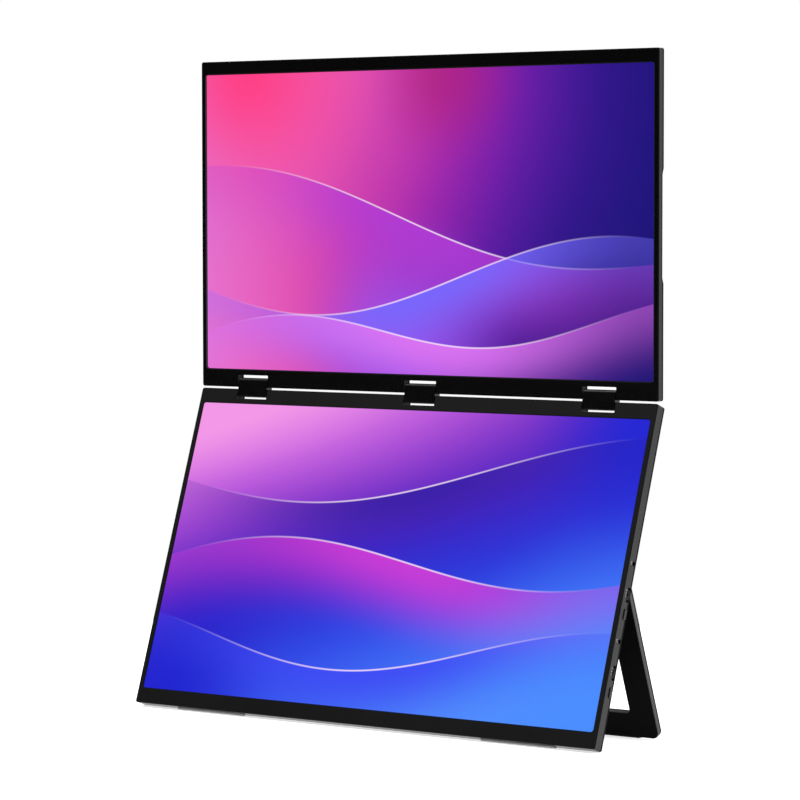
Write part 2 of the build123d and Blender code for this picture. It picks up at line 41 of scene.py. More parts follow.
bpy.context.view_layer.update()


# Case of each display: a frame of aluminium, blasted to a fine even grain and anodised graphite, and
# a darker back plate screwed to its rear. The seam before the plate is painted as a dark line of shade.
class Wire:
    """A shader socket that takes part in sums: each operation on it adds one node to its tree."""

    def __init__(self, tree, socket=None):
        self.tree = tree
        self.socket = socket

    def node(self, kind, settings=None, inputs=None, out=0):
        """Adds a node: its settings first, then its sockets' values or links; gives one output."""
        made = self.tree.nodes.new("ShaderNode" + kind)
        for key, value in (settings or {}).items():
            if key == "stops":
                ramp = made.color_ramp
                while len(ramp.elements) < len(value):
                    ramp.elements.new(1.0)
                for element, (place, colour) in zip(ramp.elements, value):
                    element.position = place
                    element.color = colour
            elif key == "interpolation":
                made.color_ramp.interpolation = value
            else:
                setattr(made, key, value)
        for key, value in (inputs or {}).items():
            if isinstance(value, Wire):
                self.tree.links.new(value.socket, made.inputs[key])
            else:
                made.inputs[key].default_value = value
        return Wire(self.tree, made.outputs[out])

    def math(self, operation, *values):
        return self.node("Math", {"operation": operation}, dict(enumerate(values)))

    def __add__(self, other):
        return self.math("ADD", self, other)

    def __sub__(self, other):
        return self.math("SUBTRACT", self, other)

    def __rsub__(self, other):
        return self.math("SUBTRACT", other, self)

    def __mul__(self, other):
        return self.math("MULTIPLY", self, other)

    def __truediv__(self, other):
        return self.math("DIVIDE", self, other)

    def __pow__(self, other):
        return self.math("POWER", self, other)

    __radd__ = __add__
    __rmul__ = __mul__

    def size(self):
        """The value without its sign."""
        return self.math("ABSOLUTE", self)

    def sine(self):
        return self.math("SINE", self)

    def most(self, other):
        return self.math("MAXIMUM", self, other)

    def least(self, other):
        return self.math("MINIMUM", self, other)

    def dot(self, direction):
        """The part of a vector that lies along a fixed direction."""
        return self.node(
            "VectorMath", {"operation": "DOT_PRODUCT"}, {0: self, 1: tuple(direction)}, "Value"
        )

    def stretch(self, *scales):
        """A vector with each of its parts scaled, so that noise on it is drawn out."""
        return self.node("VectorMath", {"operation": "MULTIPLY"}, {0: self, 1: scales})

    def step(self, low, high):
        """A smooth rise from 0 at low to 1 at high."""
        return self.node(
            "MapRange", {"interpolation_type": "SMOOTHSTEP"}, {0: self, 1: low, 2: high, 3: 0.0, 4: 1.0}
        )

    def past(self, edge, blur):
        """0 before an edge and 1 past it, smooth over a blur each way."""
        return self.step(edge - blur, edge + blur)

    def noise(self, scale, detail=2.0, rough=0.5):
        """Cloudy noise on this vector, from about 0.3 to 0.7."""
        return self.node(
            "TexNoise",
            {},
            {"Vector": self, "Scale": scale, "Detail": detail, "Roughness": rough},
            "Fac",
        )

    def blend(self, first, second):
        """Mixes two colours by this value."""
        return self.node(
            "Mix", {"data_type": "RGBA", "clamp_factor": True}, {0: self, 6: first, 7: second}, 2
        )

    def bump(self, strength, distance):
        """A normal from this height, given in shares of a distance."""
        return self.node(
            "Bump", {}, {"Strength": strength, "Distance": distance, "Height": self}, "Normal"
        )


def finish(name):
    """A new material: its object coordinates, its normal, and a call that fills its sockets."""
    material = bpy.data.materials.new(name)
    material.use_nodes = True
    tree = material.node_tree
    wire = Wire(tree)
    shader = tree.nodes["Principled BSDF"]

    def fill(**values):
        for key, value in values.items():
            socket = shader.inputs[key.replace("_", " ")]
            if isinstance(value, Wire):
                tree.links.new(value.socket, socket)
            else:
                socket.default_value = value
        return material

    return wire.node("TexCoord", out="Object"), wire.node("TexCoord", out="Normal"), fill


def dress(material, *names):
    """Gives CAD nodes a material."""
    for name in names:
        slots = nodes[name].data.materials
        slots.clear()
        slots.append(material)


def rgb(*steps):
    """An opaque linear colour from display values of 0 to 255."""
    share = np.array(steps, float) / 255
    linear = np.where(share <= 0.04045, share / 12.92, ((share + 0.055) / 1.055) ** 2.4)
    return (*(float(value) for value in linear), 1.0)


sideways = (1.0, 0.0, 0.0)
half_width = 0.2091
case_corner = 0.0017
pin_depth = 0.0042
open_angle = 160.4


class Face:
    """A display's front, set from its fold axis: the way across it and the way behind it."""

    def __init__(self, name, along, back, pin_inset, thickness, hinge_border, height):
        self.name = name
        self.along = np.array(along)
        self.back = np.array(back)
        self.thickness = thickness
        self.hinge_border = hinge_border
        self.height = height
        pin = np.array(joints[f"fold_{name}"]["pos_m"])
        self.origin = pin - pin_inset * self.along - pin_depth * self.back

    def point(self, x, along, depth):
        """A point from its distance to the right, across from the hinge edge, and behind the front."""
        return (
            self.origin
            + np.multiply.outer(x, sideways)
            + np.multiply.outer(along, self.along)
            + np.multiply.outer(depth, self.back)
        )

    def reading(self, place, axis):
        """The shader's reading of a distance along one of the face's directions."""
        direction = {"x": np.array(sideways), "along": self.along, "depth": self.back}[axis]
        return place.dot(direction) - float(self.origin @ direction)

    def within(self, place):
        """How far a point lies inside the case's outline, a rectangle with round corners."""
        middle = self.height / 2
        past_x = self.reading(place, "x").size() - (half_width - case_corner)
        past_y = (self.reading(place, "along") - middle).size() - (middle - case_corner)
        far = (past_x.most(0.0) ** 2.0 + past_y.most(0.0) ** 2.0) ** 0.5
        return case_corner - far - past_x.most(past_y).least(0.0)


front_way = joints["wheel_rock_1"]["axis"]
lower_lean = atan2(front_way[2], -front_way[1])
upper_lean = radians(180 - open_angle) - lower_lean
lower = Face(
    "lower",
    along=(0, -sin(lower_lean), -cos(lower_lean)),
    back=(0, cos(lower_lean), -sin(lower_lean)),
    pin_inset=0.0034,
    thickness=0.0102,
    hinge_border=0.0118,
    height=0.2543,
)
upper = Face(
    "upper",
    along=(0, -sin(upper_lean), cos(upper_lean)),
    back=(0, cos(upper_lean), sin(upper_lean)),
    pin_inset=0.0044,
    thickness=0.0071,
    hinge_border=0.0136,
    height=0.2540,
)

cover_thickness = 0.0012
seam_width = 0.0009
scoop_start = 0.0840
scoop_end = 0.1686
scoop_ramp = 0.0050
scoop_depth = 0.0019
scoop_line = 0.0012
line_blur = 0.0001
highlight_depths = (0.0009, 0.0017)
recess_inset = 0.00029
recess_blur = 0.00007
hinge_blur = 0.0002
worn_insets = (0.0003, 0.004)
blast_bump = (0.25, 0.00003)
blast_specular = 0.13
painted_shade_black = rgb(6, 6, 7)


def rear_edge(face, place):
    """The depth at which the wall's dark rear line of painted shade starts, a little before the back
    plate.

    Along a finger scoop it keeps a line's width before the cut, whose depth falls evenly on each ramp.
    """
    seam = cover_thickness + seam_width
    if face is lower:
        return face.thickness - seam
    middle = (scoop_start + scoop_end) / 2
    full = (scoop_end - scoop_start) / 2 - scoop_ramp
    out = ((face.reading(place, "along") - middle).size() - full).most(0.0)
    cut = scoop_depth - out * (scoop_depth / scoop_ramp)
    return face.thickness - (cut + scoop_line).most(seam)


def blasted(face, place):
    """The wall's grain, gloss and tone: fine blasted grain over the slow bloom of the anodising.

    The front edge is painted paler as a highlight and is glossier; the rear line is painted shade, dark
    and dull.
    """
    depth = face.reading(place, "depth")
    grain = place.noise(5200.0, 3.0, 0.6)
    bloom = place.noise(26.0, 4.0, 0.6)
    # Painted highlight: the front edge of the wall is painted paler.
    wear_and_highlight = (1 - depth.step(*highlight_depths)) * bloom.step(0.3, 0.7)
    # Painted shade: a dark line is painted along the seam before the back plate.
    line = (depth - rear_edge(face, place)).past(0.0, line_blur)
    gloss = 0.5 + (bloom - 0.5) * 0.16 + (grain - 0.5) * 0.1 - wear_and_highlight * 0.08 + line * 0.4
    tone = (bloom * 0.4 + grain * 0.6 + wear_and_highlight * 0.3).blend(rgb(46, 46, 47), rgb(64, 64, 65))
    return grain, gloss, line.blend(tone, painted_shade_black)


def graphite_wall(face):
    """The blasted wall, polished on the far edge; the lower frame's cut-outs for its ports are painted
    black as shade.

    A cut-out is what lies inside the outline, past the border at the hinge.
    """
    place, normal, fill = finish(f"graphite_wall_{face.name}")
    grain, gloss, colour = blasted(face, place)
    polished = normal.dot(face.along).step(0.9, 0.98)
    if face is lower:
        beyond = face.reading(place, "along").past(face.hinge_border, hinge_blur)
        # Painted shade: the port cut-outs inside the outline are painted black.
        recess_shade = face.within(place).past(recess_inset, recess_blur) * beyond
        colour = recess_shade.blend(colour, painted_shade_black)
    return fill(
        Base_Color=colour,
        Roughness=gloss * (1 - polished * 0.75),
        Normal=grain.bump(*blast_bump),
        Specular_IOR_Level=blast_specular,
    )


def graphite_back(face):
    """A darker plate with a coarser grain, rubbed lighter in a soft band inside its edge, which is
    painted near black as shade.
    """
    place, normal, fill = finish(f"graphite_back_{face.name}")
    grain = place.noise(3600.0, 3.0, 0.6)
    bloom = place.noise(18.0, 5.0, 0.62)
    flat = normal.dot(face.back).step(0.8, 0.95)
    worn = flat * (1 - face.within(place).step(*worn_insets)) * bloom.step(0.42, 0.68)
    body = (bloom * 0.5 + grain * 0.5).blend(rgb(25, 25, 26), rgb(40, 40, 41))
    plate = (worn * 0.35).blend(body, rgb(70, 70, 71))
    # Painted shade: every face of the plate but its flat back is painted near black.
    return fill(
        Base_Color=flat.blend(painted_shade_black, plate),
        Roughness=0.92 - flat * 0.4 + (bloom - 0.5) * 0.2 + (grain - 0.5) * 0.12 - worn * 0.1,
        Normal=grain.bump(0.3, 0.00004),
        Specular_IOR_Level=0.16,
    )


for face in (lower, upper):
    dress(graphite_wall(face), f"{face.name}_mid_frame")
    dress(graphite_back(face), f"{face.name}_back_cover")


# Back plate screws: low cross-headed screws of steel, plated black, eight to a display. They go through
# the plate near its long edges into the frame.
def sheet_mesh(name, grids, closed=False):
    """A mesh from grids of points: each row is a loop, and closed joins the last row to the first.

    Points that coincide, as at a pole, are merged, and the faces are turned outwards.
    """
    points, faces, count = [], [], 0
    for grid in grids:
        rows, columns = grid.shape[:2]
        index = count + np.arange(rows * columns).reshape(rows, columns)
        index = np.hstack((index, index[:, :1]))
        if closed:
            index = np.vstack((index, index[:1]))
        corners = (index[:-1, :-1], index[1:, :-1], index[1:, 1:], index[:-1, 1:])
        faces.append(np.stack(corners, axis=-1).reshape(-1, 4))
        points.append(grid.reshape(-1, 3))
        count += rows * columns
    mesh = bpy.data.meshes.new(name)
    mesh.from_pydata(np.concatenate(points).tolist(), [], np.concatenate(faces).tolist())
    work = bmesh.new()
    work.from_mesh(mesh)
    bmesh.ops.remove_doubles(work, verts=work.verts, dist=1e-7)
    bmesh.ops.recalc_face_normals(work, faces=work.faces)
    work.to_mesh(mesh)
    work.free()
    mesh.shade_smooth()
    piece = bpy.data.objects.new(name, mesh)
    bpy.context.scene.collection.objects.link(piece)
    return piece


def attach(piece, material, body):
    """Gives a new piece its finish and the body that carries it."""
    piece.data.materials.append(material)
    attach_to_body(piece, body)


def full_turn(sections):
    """Even angles round a circle, the last one step short of the first."""
    return np.linspace(0, 2 * np.pi, sections, endpoint=False)


def black_zinc():
    """Black plating on steel, with fine scratches that show in the gloss."""
    place, _, fill = finish("black_zinc")
    scratch = place.stretch(900.0, 9000.0, 9000.0).noise(1.0, 3.0, 0.6)
    patch = place.noise(700.0, 2.0)
    return fill(
        Base_Color=(scratch * 0.5 + patch * 0.5).blend((0.03, 0.03, 0.032, 1), (0.09, 0.09, 0.092, 1)),
        Roughness=0.34 + (scratch - 0.5) * 0.2,
        Normal=scratch.bump(0.15, 0.00001),
        Metallic=1.0,
    )


crown_shares = (0.0, 0.08, 0.16, 0.24, 0.34, 0.44, 0.54, 0.60, 0.66, 0.76, 0.88, 0.96)
cross_half_share = 0.20
cross_reach_share = 0.62
cross_wall_share = 0.08
head_root = 0.0001


def cross_head(face, x, along, depth, radius, rise):
    """A screw head: rings round its middle, domed as 1 - r^2, sunk near two crossed lines.

    The rings, in shares of the radius, end in the rim, a ring below the plate and a closing pole.
    """
    ring = np.array((*crown_shares, 1.0, 1.0, 0.0))[:, None]
    turn = full_turn(64)
    off_x, off_y = ring * np.cos(turn), ring * np.sin(turn)
    line = np.minimum(abs(off_x), abs(off_y))
    end = np.maximum(abs(off_x), abs(off_y))
    in_line = np.clip((cross_half_share - line) / cross_wall_share, 0, 1)
    in_reach = np.clip((cross_reach_share - end) / cross_wall_share, 0, 1)
    height = rise * (0.45 + 0.55 * (1 - ring**2) - 0.9 * in_line * in_reach)
    height[-3] = rise * 0.25
    height[-2:] = -head_root
    return face.point(x + radius * off_x, along + radius * off_y, depth + height)


screw_inset = 0.0085
screw_places = (-0.2, -0.08, 0.08, 0.2)
screw_radius = 0.0016
screw_rise = 0.0002
zinc = black_zinc()
for face in (lower, upper):
    heads = [
        cross_head(face, x, along, face.thickness, screw_radius, screw_rise)
        for along in (screw_inset, face.height - screw_inset)
        for x in screw_places
    ]
    attach(sheet_mesh(f"{face.name}_cover_screws", heads), zinc, f"{face.name}_display")


# Picture panels: glass with a matt anti-glare film, lit from behind. Each shows a plain desktop
# gradient with a few soft ribbons, inside the thin dark border of the panel itself.
picture_width = 0.4098
picture_height = 0.2305
aspect_squared = 3.16
corner_change = 0.01
rim_blur = 0.00012
fold_blur = 0.002
light_half = 0.0025
light_blur = 0.0019
ribbon_light = (1.0, 0.80, 0.97, 1)


def lit_picture(face, border, corners, stops, slope, sway, pools, folds):
    """A ramp across a slanted, swaying line, pools of colour, then sheets that fade from a bright edge.

    Places run from 0 to 1 to the right (u) and up (v). A pool is its centre, reach, strength and tint.
    A fold is its edge's height, slope, swing, turns and phase, then its depth, strength and tint.
    The lit area is a rectangle a border's width inside the window, with one corner radius at the hinge
    side and one at the far side: how far a point lies past the corner's centre, both ways.
    """
    place, _, fill = finish(f"lit_picture_{face.name}")
    across = face.reading(place, "x")
    along = face.reading(place, "along")
    u = across / picture_width + 0.5
    rise = (along - face.hinge_border) / picture_height
    v = rise if face is upper else 1 - rise
    slope_u, slope_v, start = slope
    sway_size, sway_rate = sway
    slant = u * slope_u + v * slope_v + (v * sway_rate + u * 2.0).sine() * sway_size + start
    colour = slant.node("ValToRGB", {"stops": stops, "interpolation": "B_SPLINE"}, {0: slant})
    for centre_u, centre_v, reach, strength, tint in pools:
        far = ((u - centre_u) ** 2.0 * aspect_squared + (v - centre_v) ** 2.0) ** 0.5
        colour = ((1 - far.step(0.0, reach)) * strength).blend(colour, rgb(*tint))
    fade = u.step(0.0, 0.5) * (1 - u.step(0.55, 1.0)) * 0.7
    for base, lean, swing, turns, phase, depth, strength, tint in folds:
        wave = (u * (2 * pi * turns) + phase).sine()
        below = u * lean + wave * swing + base - v
        sheet = below.past(0.0, fold_blur) * (1 - below.step(0.0, depth)) ** 2.0
        colour = (sheet * (fade + 0.3) * strength).blend(colour, rgb(*tint))
        edge = 1 - below.size().past(light_half, light_blur)
        colour = (edge * fade * 1.1).blend(colour, ribbon_light)
    middle = face.hinge_border + picture_height / 2
    near_corner, far_corner = corners
    corner = (1 - along.past(middle, corner_change)) * (near_corner - far_corner) + far_corner
    far_x = (across.size() - (picture_width / 2 - border) + corner).most(0.0)
    far_y = ((along - middle).size() - (picture_height / 2 - border) + corner).most(0.0)
    rim = ((far_x * far_x + far_y * far_y) ** 0.5 - corner).past(0.0, rim_blur)
    haze = place.noise(9000.0, 2.0)
    return fill(
        Base_Color=(0.003, 0.003, 0.004, 1),
        Roughness=0.4 + (place.noise(18.0, 3.0) - 0.5) * 0.1,
        Normal=haze.bump(0.12, 0.00001),
        Specular_IOR_Level=0.06,
        Emission_Color=rim.blend(colour, rgb(20, 26, 20)),
        Emission_Strength=1.0,
    )


upper_picture = lit_picture(
    upper,
    border=0.00052,
    corners=(0.0020, 0.0010),
    stops=(
        (0.00, rgb(226, 122, 216)),
        (0.22, rgb(236, 84, 176)),
        (0.42, rgb(180, 40, 172)),
        (0.58, rgb(92, 24, 170)),
        (0.74, rgb(30, 16, 132)),
        (1.00, rgb(16, 12, 108)),
    ),
    slope=(0.90, -0.06, 0.03),
    sway=(0.05, 3.4),
    pools=(
        (0.10, 1.02, 0.62, 0.95, (255, 58, 128)),
        (0.46, 0.10, 0.48, 0.85, (150, 84, 240)),
        (0.55, 0.98, 0.34, 0.55, (170, 16, 96)),
    ),
    folds=(
        (0.62, -0.22, 0.09, 0.80, 0.9, 0.50, 0.85, (176, 58, 214)),
        (0.30, 0.04, 0.12, 0.78, 3.4, 0.34, 0.90, (116, 104, 255)),
        (0.10, 0.10, 0.07, 1.05, 0.4, 0.30, 0.90, (222, 116, 242)),
    ),
)
lower_picture = lit_picture(
    lower,
    border=0.00022,
    corners=(0.0015, 0.0016),
    stops=(
        (0.00, rgb(250, 160, 232)),
        (0.16, rgb(196, 86, 226)),
        (0.34, rgb(92, 34, 190)),
        (0.52, rgb(34, 24, 196)),
        (0.74, rgb(44, 74, 240)),
        (1.00, rgb(86, 148, 255)),
    ),
    slope=(0.52, -0.62, 0.56),
    sway=(0.04, 4.0),
    pools=(
        (0.06, 0.02, 0.50, 0.85, (22, 26, 206)),
        (0.98, 0.98, 0.46, 0.85, (18, 34, 212)),
        (1.00, 0.05, 0.70, 0.80, (70, 140, 255)),
    ),
    folds=(
        (0.74, 0.10, 0.10, 0.70, 3.3, 0.30, 0.80, (34, 18, 158)),
        (0.40, 0.16, 0.11, 0.74, 0.6, 0.34, 0.90, (206, 58, 214)),
        (0.20, 0.02, 0.09, 0.86, 2.4, 0.30, 0.85, (60, 70, 244)),
    ),
)
dress(upper_picture, "upper_lcd_panel")
dress(lower_picture, "lower_lcd_panel")


# Front frames: thin black moulded plastic, satin from a fine spark texture in the mould, glued over
# the edge of each picture panel. The flat face is the blackest, and the cut edges are greyer; the upper
# window's side bevels carry a painted highlight.
edge_tone = (16, 17, 17)
upper_bevel_highlight = (55, 63, 60)
bevel_inset = 0.0020
bevel_blur = 0.0005


def black_bezel(face, bevel_tone):
    """Near-black plastic with a pebbled bump; the flat face is glossier and blacker than the cut edges.

    The window's upright bevels, inside the outline and facing sideways, have a tone of their own, on
    the upper frame a paler one: a painted highlight.
    """
    place, normal, fill = finish(f"black_bezel_{face.name}")
    pebble = place.noise(3400.0, 2.0, 0.55)
    patch = place.noise(14.0, 4.0, 0.6)
    flat = normal.dot(-face.back).step(0.90, 0.98)
    black = (patch + (pebble - 0.5) * 0.3).blend(rgb(2, 2, 2), rgb(6, 6, 7))
    upright = normal.dot(sideways).size().step(0.4, 0.6)
    # Painted highlight: the window's sideways bevels take the bevel tone, paler on the upper frame.
    bevel = upright * face.within(place).past(bevel_inset, bevel_blur)
    cut = bevel.blend(rgb(*edge_tone), rgb(*bevel_tone))
    return fill(
        Base_Color=flat.blend(cut, black),
        Roughness=0.5 + (patch - 0.5) * 0.14 + (pebble - 0.5) * 0.08,
        Normal=pebble.bump(0.10, 0.00002),
        Specular_IOR_Level=0.04,
        Coat_Weight=flat * (0.52 + (patch - 0.5) * 0.2),
        Coat_Roughness=0.12,
    )


dress(black_bezel(lower, edge_tone), "lower_front_bezel")
dress(black_bezel(upper, upper_bevel_highlight), "upper_front_bezel")


# Light guides and the sheet behind the lower one: white tray and plain bright aluminium. They lie
# shut in between the picture panels and the back plates.
def white_tray():
    """White moulded tray with a faint dotted print."""
    place, _, fill = finish("white_tray")
    dots = place.noise(900.0, 1.0)
    return fill(
        Base_Color=dots.blend((0.70, 0.70, 0.69, 1), (0.86, 0.86, 0.84, 1)),
        Roughness=0.5 + (dots - 0.5) * 0.2,
        Normal=dots.bump(0.1, 0.00005),
    )


def bright_sheet():
    """Sheet metal with the long fine scratches of rolling, drawn out along X."""
    place, _, fill = finish("bright_sheet")
    streak = place.stretch(60.0, 2400.0, 2400.0).noise(1.0, 3.0, 0.6)
    patch = place.noise(30.0, 3.0)
    return fill(
        Base_Color=(streak * 0.6 + patch * 0.4).blend((0.48, 0.48, 0.49, 1), (0.66, 0.66, 0.67, 1)),
        Roughness=0.34 + (streak - 0.5) * 0.2,
        Normal=streak.bump(0.12, 0.00003),
        Metallic=1.0,
    )


dress(white_tray(), "lower_backlight", "upper_backlight")
dress(bright_sheet(), "lower_chassis")


# Circuit boards: green lacquer over copper tracks, with black chips. They sit on the sheet's pillars
# behind the sockets, out of sight once the back is on.
board_face = 0.00665
board_blur = 0.00003


def green_board():
    """Lacquer with raised square-cornered tracks from a brick pattern, and a black tone on chips.

    The chips are what stands behind the board's own face.
    """
    place, _, fill = finish("green_board")
    track = place.node(
        "TexBrick",
        {"offset": 0.5},
        {"Vector": place, "Scale": 240.0, "Mortar Size": 0.02, "Mortar Smooth": 0.2},
        "Fac",
    )
    chip = lower.reading(place, "depth").past(board_face, board_blur)
    lacquer = track.blend(rgb(10, 62, 36), rgb(28, 96, 58))
    return fill(
        Base_Color=chip.blend(lacquer, (0.012, 0.012, 0.013, 1)),
        Roughness=0.34 + chip * 0.2,
        Normal=track.bump(0.3, 0.00004),
        Coat_Weight=(1 - chip) * 0.4,
    )


dress(green_board(), "driver_board_1", "driver_board_2", "socket_board")


# Hinge: three black painted bars that bridge the two edges on steel pins, which turn in steel
# brackets fixed inside the frames. The paint is satin with a faint orange peel, with a painted
# highlight on the edges.
def black_paint():
    """Satin paint: slow orange peel in the bump, a little dust in the gloss, greyer on edges as a
    painted highlight.

    An edge is where the surface leans between facing the front and facing away from it.
    """
    place, normal, fill = finish("black_paint")
    peel = place.noise(900.0, 2.0, 0.4)
    dust = place.noise(150.0, 5.0, 0.65)
    front = normal.dot((0.0, -1.0, 0.0))
    # Painted highlight: edges between facing the front and facing away are painted greyer.
    rim = front.step(0.12, 0.22) * (1 - front.step(0.90, 0.95))
    coat = dust.blend(rgb(2, 2, 3), rgb(8, 8, 9))
    return fill(
        Base_Color=(rim * (0.8 + (dust - 0.5) * 0.5)).blend(coat, rgb(30, 30, 31)),
        Roughness=0.16 + rim * 0.2 + (dust - 0.5) * 0.1,
        Normal=peel.bump(0.16, 0.00005),
        Specular_IOR_Level=0.5,
    )


def turned_steel():
    """Plain steel with turning rings drawn along X."""
    place, _, fill = finish("turned_steel")
    along = place.dot((2600.0, 0.0, 0.0))
    ring = along.node(
        "TexNoise", {"noise_dimensions": "1D"}, {"W": along, "Scale": 1.0, "Detail": 2.0}, "Fac"
    )
    return fill(
        Base_Color=ring.blend((0.30, 0.30, 0.31, 1), (0.52, 0.52, 0.53, 1)),
        Roughness=0.28 + (ring - 0.5) * 0.2,
        Normal=ring.bump(0.15, 0.00002),
        Metallic=1.0,
    )


paint = black_paint()
steel = turned_steel()
for spot in ("left", "middle", "right"):
    dress(paint, f"hinge_link_{spot}")
    for face in (lower, upper):
        dress(steel, f"{face.name}_hinge_pin_{spot}", f"{face.name}_hinge_bracket_{spot}")


# Sockets: bodies that fill their slots in the side wall, with faces tinted like the wall. The audio
# jacks have a black moulded lip; the data and video sockets a bright shell round a tongue. Small grey
# signs printed on the wall tell the jack and the wheel's two ways.
port_depth = 0.0067
set_pitch = 0.0572
skin_inset = 0.00004
skin_blur = 0.00002
mouth_half_height = 0.0013
shell_wall = 0.00037
shell_blur = 0.00003
tongue_half = 0.00038
tongue_blur = 0.00002
tongue_end_blur = 0.00005
tongue_inset = 0.0017
contact_pitch = 0.0005


def moulded_black():
    """Black moulding with the dull fine texture of glass-filled plastic."""
    place, _, fill = finish("moulded_black")
    fibre = place.stretch(900.0, 3800.0, 3800.0).noise(1.0, 3.0, 0.6)
    return fill(
        Base_Color=fibre.blend(rgb(12, 12, 12), rgb(22, 22, 23)),
        Roughness=0.5 + (fibre - 0.5) * 0.16,
        Normal=fibre.bump(0.2, 0.00003),
        Specular_IOR_Level=0.3,
    )


def nearer_of_two(place, first):
    """How far along a point lies from the nearer of two places that are one set apart."""
    middle = lower.reading(place, "along") - (first + set_pitch / 2)
    return middle.size() - set_pitch / 2


def outer_skin(place):
    """1 on the face that is flush with the side wall, 0 further in."""
    return lower.reading(place, "x").size().past(half_width - skin_inset, skin_blur)


def jack_body():
    """Wall tint on the outer face, black moulding in the bore."""
    place, _, fill = finish("jack_body")
    grain, gloss, tint = blasted(lower, place)
    return fill(
        Base_Color=outer_skin(place).blend(rgb(7, 7, 8), tint),
        Roughness=gloss,
        Normal=grain.bump(*blast_bump),
        Specular_IOR_Level=blast_specular,
    )


def shell_socket(name, first, half_length, corner, half_tongue):
    """Wall tint, then a bright shell where the point lies just outside the mouth, then the tongue.

    The mouth is a rectangle with round corners; gold contacts are stripes across the tongue.
    """
    place, _, fill = finish(name)
    along = nearer_of_two(place, first)
    depth = lower.reading(place, "depth") - port_depth
    far_a = (along.size() - (half_length - corner)).most(0.0)
    far_d = (depth.size() - (mouth_half_height - corner)).most(0.0)
    outside = (far_a * far_a + far_d * far_d) ** 0.5 - corner
    wall = outer_skin(place) * outside.past(shell_wall, shell_blur)
    thin = 1 - depth.size().past(tongue_half, tongue_blur)
    short = 1 - along.size().step(half_tongue, half_tongue + tongue_end_blur)
    deep = 1 - lower.reading(place, "x").size().past(half_width - tongue_inset, line_blur)
    tongue = thin * short * deep
    contact = tongue * (along * (2 * pi / contact_pitch)).sine().step(0.0, 0.4)
    grain, gloss, tint = blasted(lower, place)
    bright = grain.blend((0.44, 0.44, 0.45, 1), (0.62, 0.62, 0.63, 1))
    colour = tongue.blend(wall.blend(bright, tint), (0.01, 0.01, 0.011, 1))
    return fill(
        Base_Color=contact.blend(colour, (0.78, 0.52, 0.20, 1)),
        Metallic=contact.most((1 - wall) * (1 - tongue)),
        Roughness=0.28 + wall * (gloss - 0.28) + (1 - wall) * (grain - 0.5) * 0.1,
        Normal=grain.bump(*blast_bump),
        Specular_IOR_Level=blast_specular,
    )


data_shell = shell_socket(
    "data_shell", first=0.1190, half_length=0.0042, corner=mouth_half_height, half_tongue=0.00335
)
video_shell = shell_socket(
    "video_shell", first=0.1400, half_length=0.0053, corner=0.0002, half_tongue=0.0038
)
moulding = moulded_black()
dress(jack_body(), "audio_jack_1", "audio_jack_2")
dress(moulding, "wheel_switch_1", "wheel_switch_2", "button_switch_1", "button_switch_2")
dress(data_shell, "data_socket_1", "data_socket_2")
dress(video_shell, "video_socket_1", "video_socket_2")

jack_place = 0.1175
lip_profile = (
    (0.00200, 0.0006),
    (0.00200, -0.00003),
    (0.00196, -0.00005),
    (0.00190, -0.00003),
    (0.00176, 0.00020),
    (0.00174, 0.00030),
    (0.00174, 0.0010),
)
sign_depth = 0.0036
sign_half = 0.0007
sign_line = 0.00034
bold_line = 0.0005
phone_radius = 0.0009
phone_sweep = 100
pad_offset = 0.00084
pad_span = (0.0002, 0.0006)
dot_half = 0.0003
dot_line = 0.0008
wheel_offset = 0.0230
plus_place = wheel_offset - 0.0029
dot_place = wheel_offset - 0.0008
minus_place = wheel_offset + 0.0014
print_root = 0.00001
print_proud = 0.00002


def wall_point(inwards, along, depth):
    """A point of the lower display's right side, from how far inside the side face it lies."""
    return lower.point(half_width - inwards, along, depth)


def collar(name, place, profile):
    """A ring round a socket: a closed profile of (radius, inwards) turned about the plug's axis."""
    turn = full_turn(48)[:, None]
    radius, inwards = np.array(profile).T
    along = place + radius * np.cos(turn)
    depth = port_depth + radius * np.sin(turn)
    grid = wall_point(np.broadcast_to(inwards, along.shape), along, depth)
    return sheet_mesh(name, [grid], closed=True)


def stroke(along, depth, width):
    """A printed line: a flat four-sided section carried along a path on the wall, square to the path.

    The section shrinks to a point at each end, half a width beyond the path, which closes the line.
    """
    path = np.stack((along, depth), axis=-1)
    way = np.gradient(path, axis=0)
    way /= np.linalg.norm(way, axis=1, keepdims=True)
    path = np.concatenate((path[:1] - way[:1] * width / 2, path, path[-1:] + way[-1:] * width / 2))
    way = np.concatenate((way[:1], way, way[-1:]))
    normal = np.stack((-way[:, 1], way[:, 0]), axis=-1)
    half = np.full((len(path), 1), width / 2)
    half[[0, -1]] = 0.0
    across = path[:, None] + normal[:, None] * (half * (-1.0, -1.0, 1.0, 1.0))[..., None]
    inwards = np.where(half > 0, (print_root, -print_proud, -print_proud, print_root), 0.0)
    return wall_point(inwards, across[..., 0], across[..., 1])


def arc(first, last, radius, count=24):
    """Points of a circle about 0, from one angle to another, counted from the way to the front."""
    angle = np.radians(np.linspace(first, last, count))
    return radius * np.sin(angle), -radius * np.cos(angle)


